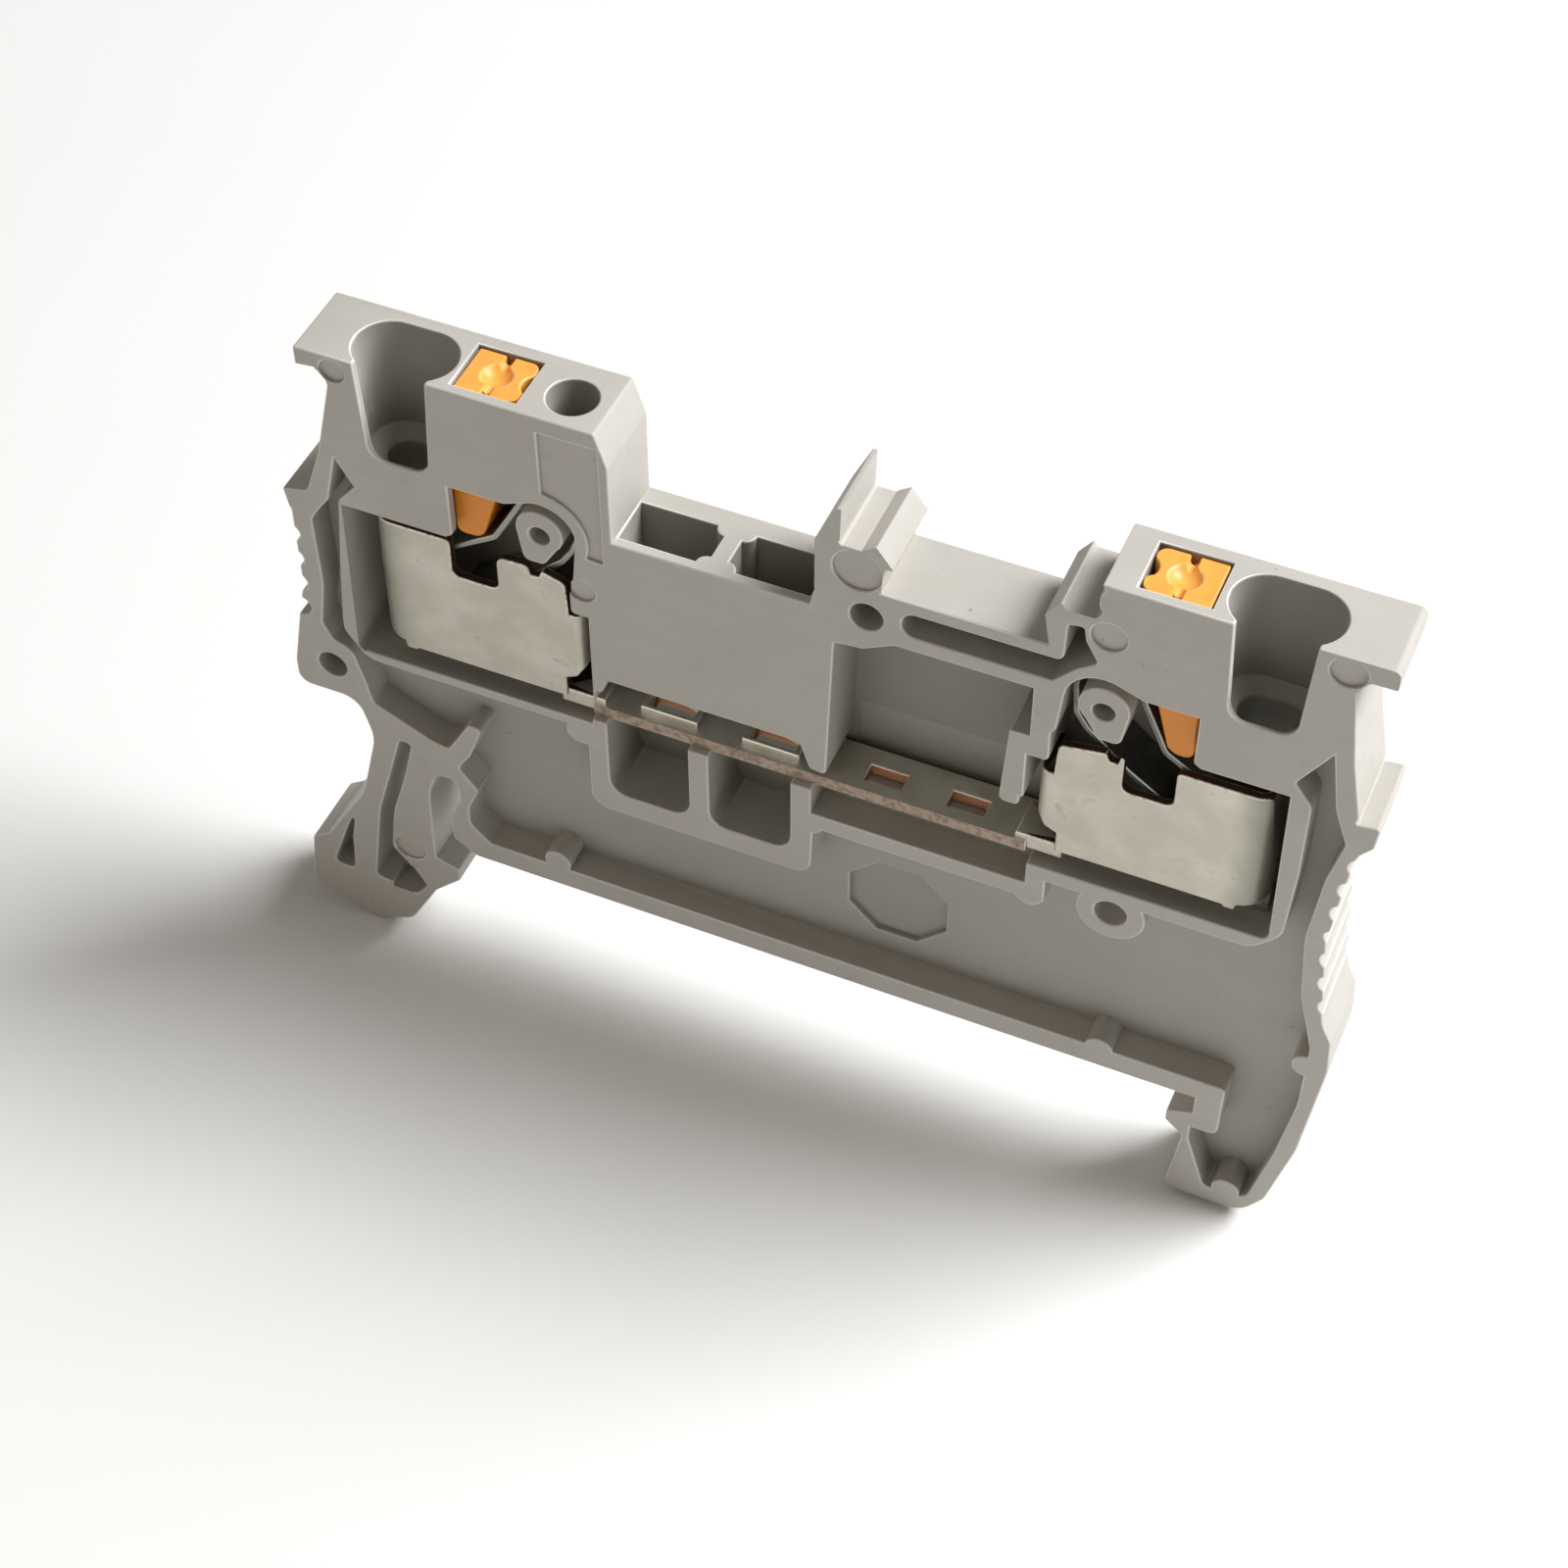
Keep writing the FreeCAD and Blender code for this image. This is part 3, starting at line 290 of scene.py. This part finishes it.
body = merged_copy("housing")
# marks the faces inside pockets, which take the painted recess shade
inner = body.faces.layers.float.new("inner")
walls = BVHTree.FromBMesh(body)
for face in body.faces:
    eye = face.calc_center_median() + face.normal * eye_lift
    faced = walls.ray_cast(eye, face.normal, widest_pocket)[0] is not None
    backed = walls.ray_cast(eye, Vector((0, 1, 0)))[0] is not None
    face[inner] = float(face.normal.y < -0.3 or (faced and backed))
housing = finished("moulded_housing", rounded(body, housing_radius), moulding, "block")
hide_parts("housing")


# Current bar: one strip of copper, tin plated, punched and folded into the bar and the cages at
# both its ends. The punch has sheared through the tin: the bar's cut edges show dull copper and
# the cages' are nearly black. Their rounded edges carry a thin cream painted highlight, with
# painted copper glints on the cages.
bar_radius = 0.06
bar_end = 9.4
cage_end = 18.95
plate_behind = 0.75
wall_from = 10.1
wall_to = 17.9
bar_top = 12.1
cage_edge_from = 11.7
hole_shade_from = 0.5
hole_shade_to = 0.7
shade_from = cage_end - 1.9
shade_to = cage_end - 0.2
tin = (0.490, 0.465, 0.390)
bright_tin = (0.590, 0.565, 0.490)
dull_tin = (0.340, 0.325, 0.260)
shaded_tin = (0.120, 0.118, 0.090)
edge_highlight_cream = (0.780, 0.740, 0.650)
sheared_copper = (0.385, 0.300, 0.240)
tarnished_copper = (0.255, 0.180, 0.135)
hole_shade_copper = (0.380, 0.185, 0.095)
black_copper = (0.050, 0.020, 0.012)

plated, place, sockets = new_finish("tin plate on copper")
cloudy = place.noise(0.55, 4.0, 0.6)
stain = place.noise(1.1, 5.0, 0.7).between(0.58, 0.74)
scratch = place.stretched(0.5, 3.0, 3.0).noise(4.0, 3.0)
cut = place.attribute("cut")
rounded_edge = place.attribute("rounded_edge")
speck = place.noise(5.0, 2.0)
across = place.axis(0)
outward = across.maths("ABSOLUTE", across)
on_cage = outward.between(bar_end - 0.1, bar_end + 0.1)
metal = cloudy.between(0.35, 0.70).mixed(tin, bright_tin)
metal = (stain * 0.6).mixed(metal, dull_tin)
metal = (outward.between(shade_from, shade_to) * 0.7).mixed(metal, shaded_tin)
copper = speck.between(0.40, 0.66).mixed(sheared_copper, tarnished_copper)
# painted shade: deeper into the holes the cut copper turns darker and redder
copper = place.axis(1).between(hole_shade_from, hole_shade_to).mixed(copper, hole_shade_copper)
copper = on_cage.mixed(copper, black_copper)
# painted highlight: a thin cream line on the rounded edges, with painted copper glints on the cages
edge = (on_cage * speck.between(0.50, 0.60) * 0.8).mixed(edge_highlight_cream, sheared_copper)
metal = (rounded_edge * 0.60).mixed(cut.mixed(metal, copper), edge)
feed(sockets, Base_Color=metal, Metallic=0.90 - cut * on_cage * 0.5,
     Roughness=0.42 + cloudy * 0.14 + speck * cut * 0.1,
     Normal=(scratch + speck * 0.6).bump(0.30, 0.010 * mm))

strip = merged_copy("current_bar")
sheared = strip.faces.layers.float.new("cut")
for face in strip.faces:
    centre = face.calc_center_median()
    sideways = abs(face.normal.x) > 0.5
    if abs(centre.x) < bar_end:
        face[sheared] = float(abs(face.normal.z) < 0.5 and centre.z < bar_top)
    elif centre.z > cage_edge_from and abs(face.normal.z) > 0.5:
        face[sheared] = 1.0
    else:
        inside = wall_from < abs(centre.x) < wall_to and centre.y < plate_behind
        face[sheared] = float(sideways and inside)
bar = finished("folded_current_bar", rounded(strip, bar_radius), plated, "block")
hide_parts("current_bar")


# Clamp springs: each is a hard steel leaf bent round its boss, with one leg braced in the cage
# and a blade that grips the wire. The blade goes down with its pusher. Angles are in degrees
# from outward towards up, and lengths run to the corners that the bends round off.
leaf_thickness = 0.25
leaf_width = 2.0
leaf_front = 0.78
leaf_edge = 0.05
bow_radius = 1.285
bow_shift = 0.08
bend_radius = 0.6
boss = {"left": Vector((-11.08, 0, 21.28)), "right": Vector((11.95, 0, 21.10))}
bow_end = {"left": 200.0, "right": 185.0}
brace_runs = {"left": (3.82, 2.4, 0.85, 1.0), "right": (3.82, 2.4, 0.85, 1.35)}
brace_turns = {"left": (-8.0, -15.0, -12.0), "right": (-8.0, -15.0, -27.0)}
steep_slope = {"left": 61.0, "right": 66.0}
steep_run = {"left": 2.84, "right": 2.965}
blade_slope = 33.0
blade_run = {"left": 5.37, "right": 4.47}
still_from = 1.3
pressed_from = 3.2
paling_reach = 5.0
spring_steel = (0.150, 0.145, 0.135)
paler_steel = (0.360, 0.345, 0.300)
highlight_steel = (0.600, 0.590, 0.550)

steel, place, sockets = new_finish("dark spring steel")
drawn = place.stretched(0.6, 6.0, 0.6).noise(3.0, 3.0)
dulled = place.noise(1.4, 3.0).between(0.4, 0.7)
# the steel turns paler towards the left
leftward = place.axis(0).between(paling_reach, -paling_reach)
shade = (leftward * 0.75 + dulled * 0.25).mixed(spring_steel, paler_steel)
# painted highlight on the leaf's rounded edges
shade = (place.attribute("rounded_edge") * 0.5).mixed(shade, highlight_steel)
feed(sockets, Base_Color=shade, Metallic=1.0, Roughness=0.34 + drawn * 0.2,
     Normal=drawn.bump(0.25, 0.008 * mm))


def heading(angle):
    """Unit direction in the XZ plane, in degrees from +X towards +Z."""
    return Vector((math.cos(math.radians(angle)), 0, math.sin(math.radians(angle))))


def straight(shape, section, direction, length):
    """Draws the leaf's end face on by a straight length and returns the new end face."""
    made = bmesh.ops.extrude_face_region(shape, geom=section)["geom"]
    bmesh.ops.delete(shape, geom=section, context="FACES_ONLY")
    corners = [v for v in made if isinstance(v, bmesh.types.BMVert)]
    bmesh.ops.translate(shape, vec=direction * length, verts=corners)
    return [f for f in made if isinstance(f, bmesh.types.BMFace)]


def bent(shape, section, centre, angle):
    """Draws the leaf's end face on round a bend and returns the new end face."""
    made = bmesh.ops.spin(shape, geom=section, cent=centre, axis=(0, -1, 0),
                          angle=math.radians(angle), steps=int(abs(angle) / 6) + 2,
                          use_merge=False)
    bmesh.ops.delete(shape, geom=section, context="FACES_ONLY")
    return [f for f in made["geom_last"] if isinstance(f, bmesh.types.BMFace)]


def bent_leaf(start, angle, runs, turns, radii):
    """Leaf drawn from its start through straight runs and the bends between them."""
    leaf = bmesh.new()
    bmesh.ops.create_grid(leaf, x_segments=1, y_segments=1, size=0.5)
    bmesh.ops.scale(leaf, vec=(leaf_thickness, leaf_width, 1), verts=leaf.verts)
    bmesh.ops.rotate(leaf, matrix=Matrix.Rotation(math.radians(90 - angle), 3, "Y"),
                     verts=leaf.verts)
    bmesh.ops.translate(leaf, vec=start, verts=leaf.verts)
    end = leaf.faces[:]
    place = start.copy()
    used = 0.0
    for run, turn, radius in zip(runs, turns + (0.0,), radii + (0.0,)):
        round_off = 0.0 if radius == bow_radius else radius * math.tan(math.radians(abs(turn) / 2))
        end = straight(leaf, end, heading(angle), run - used - round_off)
        place += heading(angle) * (run - used - round_off)
        used = round_off
        if turn:
            aside = math.copysign(90, turn)
            centre = place + heading(angle + aside) * radius
            end = bent(leaf, end, centre, turn)
            angle += turn
            place = centre - heading(angle + aside) * radius
    bmesh.ops.holes_fill(leaf, edges=[e for e in leaf.edges if e.is_boundary])
    return leaf


for side, sign in (("left", -1), ("right", 1)):
    leave = 90 - steep_slope[side]
    start = Vector((-bow_shift, 0, 0)) + heading(bow_end[side]) * bow_radius
    angle = bow_end[side] - 90
    for run, turn in zip(brace_runs[side][::-1], (0.0,) + brace_turns[side][::-1]):
        angle -= turn
        start -= heading(angle) * run
    runs = brace_runs[side] + (steep_run[side], blade_run[side])
    turns = brace_turns[side] + (leave - bow_end[side], steep_slope[side] - blade_slope)
    leaf = bent_leaf(start, angle, runs, turns, (bend_radius,) * 3 + (bow_radius, bend_radius))
    bmesh.ops.scale(leaf, vec=(sign, 1, 1), verts=leaf.verts)
    middle = Vector((0, leaf_front + leaf_width / 2, 0))
    bmesh.ops.translate(leaf, vec=boss[side] + middle, verts=leaf.verts)
    bmesh.ops.recalc_face_normals(leaf, faces=leaf.faces)
    spring = finished("leaf_spring_" + side, rounded(leaf, leaf_edge, 60), steel, None)
    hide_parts("clamp_spring_" + side)
    near = boss[side] + Vector((still_from * sign, 0, 0))
    far = boss[side] + Vector((pressed_from * sign, 0, 0))
    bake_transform(spring, "block", "pusher_" + side, start=near * mm, end=far * mm)


# Release pushers: orange mouldings in a glossier plastic. Their heads take a screwdriver's
# blade, and their wedge tips press the springs down. Below the heads the orange is darkened with
# painted shade, and the heads' rounded edges carry a painted highlight.
pusher_radius = 0.07
orange = (0.980, 0.420, 0.070)
mottled_orange = (0.950, 0.370, 0.055)
shaded_orange = (0.850, 0.290, 0.015)
highlight_orange = (1.000, 0.560, 0.180)
head_from = 22.5
head_to = 25.5

orange_plastic, place, sockets = new_finish("orange moulded plastic")
fine = place.noise(9.0, 3.0)
mottle = place.noise(1.3, 3.0).between(0.35, 0.70)
rounded_edge = place.attribute("rounded_edge")
tint = mottle.mixed(orange, mottled_orange)
head = place.axis(2).between(head_from, head_to)
# painted shade: below the heads the orange is darker
tint = head.mixed(shaded_orange, tint)
# painted highlight on the heads' rounded edges
tint = (rounded_edge * head * 0.7).mixed(tint, highlight_orange)
feed(sockets, Base_Color=tint, Roughness=0.34 + fine * 0.12, Normal=fine.bump(0.22, 0.010 * mm),
     Subsurface_Weight=0.06, Subsurface_Radius=(1.0, 0.4, 0.1), Subsurface_Scale=0.3 * mm)

for side in ("left", "right"):
    key = rounded(merged_copy("release_pusher_" + side), pusher_radius)
    pusher = finished("orange_pusher_" + side, key, orange_plastic, "pusher_" + side)
    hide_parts("release_pusher_" + side)


# Floor under the latch foot: a matt white sheet. Away from the block and its shadow, what is
# seen of it fades to pure white, as in a light tent.
floor_half = 1.2
fade_from = 70.0
fade_to = 170.0
grey_paper = (0.920, 0.915, 0.905)
bright_paper = (0.940, 0.935, 0.925)
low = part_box("housing")[0].z

paper, place, sockets = new_finish("white paper")
fibre = place.noise(0.05, 3.0)
feed(sockets, Base_Color=fibre.mixed(grey_paper, bright_paper), Roughness=0.9,
     Normal=fibre.bump(0.05, 0.1 * mm))


def seen(tree):
    """1 for rays from the camera, straight or by way of a gloss or a clear wall."""
    rays = tree.nodes.new("ShaderNodeLightPath")
    straight_on, through, mirrored = (Signal(rays.outputs[name]) for name in (
        "Is Camera Ray", "Is Transmission Ray", "Is Glossy Ray"))
    return straight_on + through + mirrored


tree = paper.node_tree
away = place.node("VectorMath", {"operation": "LENGTH"}, {0: place}, 1).between(fade_from, fade_to)
glow = place.node("Emission", {}, {"Strength": 1.0})
matt = Signal(tree.nodes["Principled BSDF"].outputs[0])
mixer = away.node("MixShader", {}, {0: away * seen(tree), 1: matt, 2: glow})
tree.links.new(mixer.socket, tree.nodes["Material Output"].inputs["Surface"])

sheet = bmesh.new()
bmesh.ops.create_grid(sheet, x_segments=1, y_segments=1, size=floor_half)
bmesh.ops.translate(sheet, vec=(0, 0, low), verts=sheet.verts)
floor_mesh = bpy.data.meshes.new("floor")
sheet.to_mesh(floor_mesh)
sheet.free()
floor_mesh.materials.append(paper)
floor = bpy.data.objects.new("floor", floor_mesh)
bpy.context.scene.collection.objects.link(floor)


# Studio light: a broad key from above, behind and to the right, as in a light tent, and a weak
# warm fill towards the open face.
tent_colour = (1.0, 0.93, 0.83)
tent_strength = 0.15
middle = (cad_box[0] + cad_box[1]) / 2
lamps = {
    "key": ((0.26, 0.13, 0.33), 0.24, 2.95, (0.970, 0.985, 1.0)),
    "fill": ((-0.10, -0.24, 0.12), 0.20, 0.05, (1.0, 0.85, 0.65)),
}
for name, (offset, size, power, colour) in lamps.items():
    lamp = bpy.data.lights.new(name, "AREA")
    lamp.size = size
    lamp.energy = power
    lamp.color = colour
    holder = bpy.data.objects.new(name, lamp)
    holder.location = middle + Vector(offset)
    holder.rotation_euler = Vector(offset).to_track_quat("Z", "Y").to_euler()
    bpy.context.scene.collection.objects.link(holder)

world = bpy.data.worlds.new("light tent")
world.use_nodes = True
bpy.context.scene.world = world
tent = world.node_tree
ambient = tent.nodes["Background"]
ambient.inputs["Color"].default_value = (*tent_colour, 1.0)
ambient.inputs["Strength"].default_value = tent_strength
white = tent.nodes.new("ShaderNodeBackground")
white.inputs["Color"].default_value = (1.0, 1.0, 1.0, 1.0)
shown = seen(tent)
mixer = shown.node("MixShader", {}, {0: shown, 1: Signal(ambient.outputs[0]),
                                     2: Signal(white.outputs[0])})
tent.links.new(mixer.socket, tent.nodes["World Output"].inputs["Surface"])


# Camera: at the place that the photograph was taken from, found from the rail and the row of
# blocks in it, and turned to the middle of this block.
camera_place = Vector((32.458, -77.430, 106.500)) * mm
camera_aim = Vector((-0.8, 0.0, 11.3)) * mm
camera = bpy.data.objects.new("camera", bpy.data.cameras.new("camera"))
camera.data.sensor_width = 36.0
camera.data.lens = 73.0
camera.data.clip_start = 0.005
camera.location = camera_place
camera.rotation_euler = (camera_aim - camera_place).to_track_quat("-Z", "Y").to_euler()
bpy.context.scene.collection.objects.link(camera)
bpy.context.scene.camera = camera
bpy.context.scene.view_settings.view_transform = "Standard"
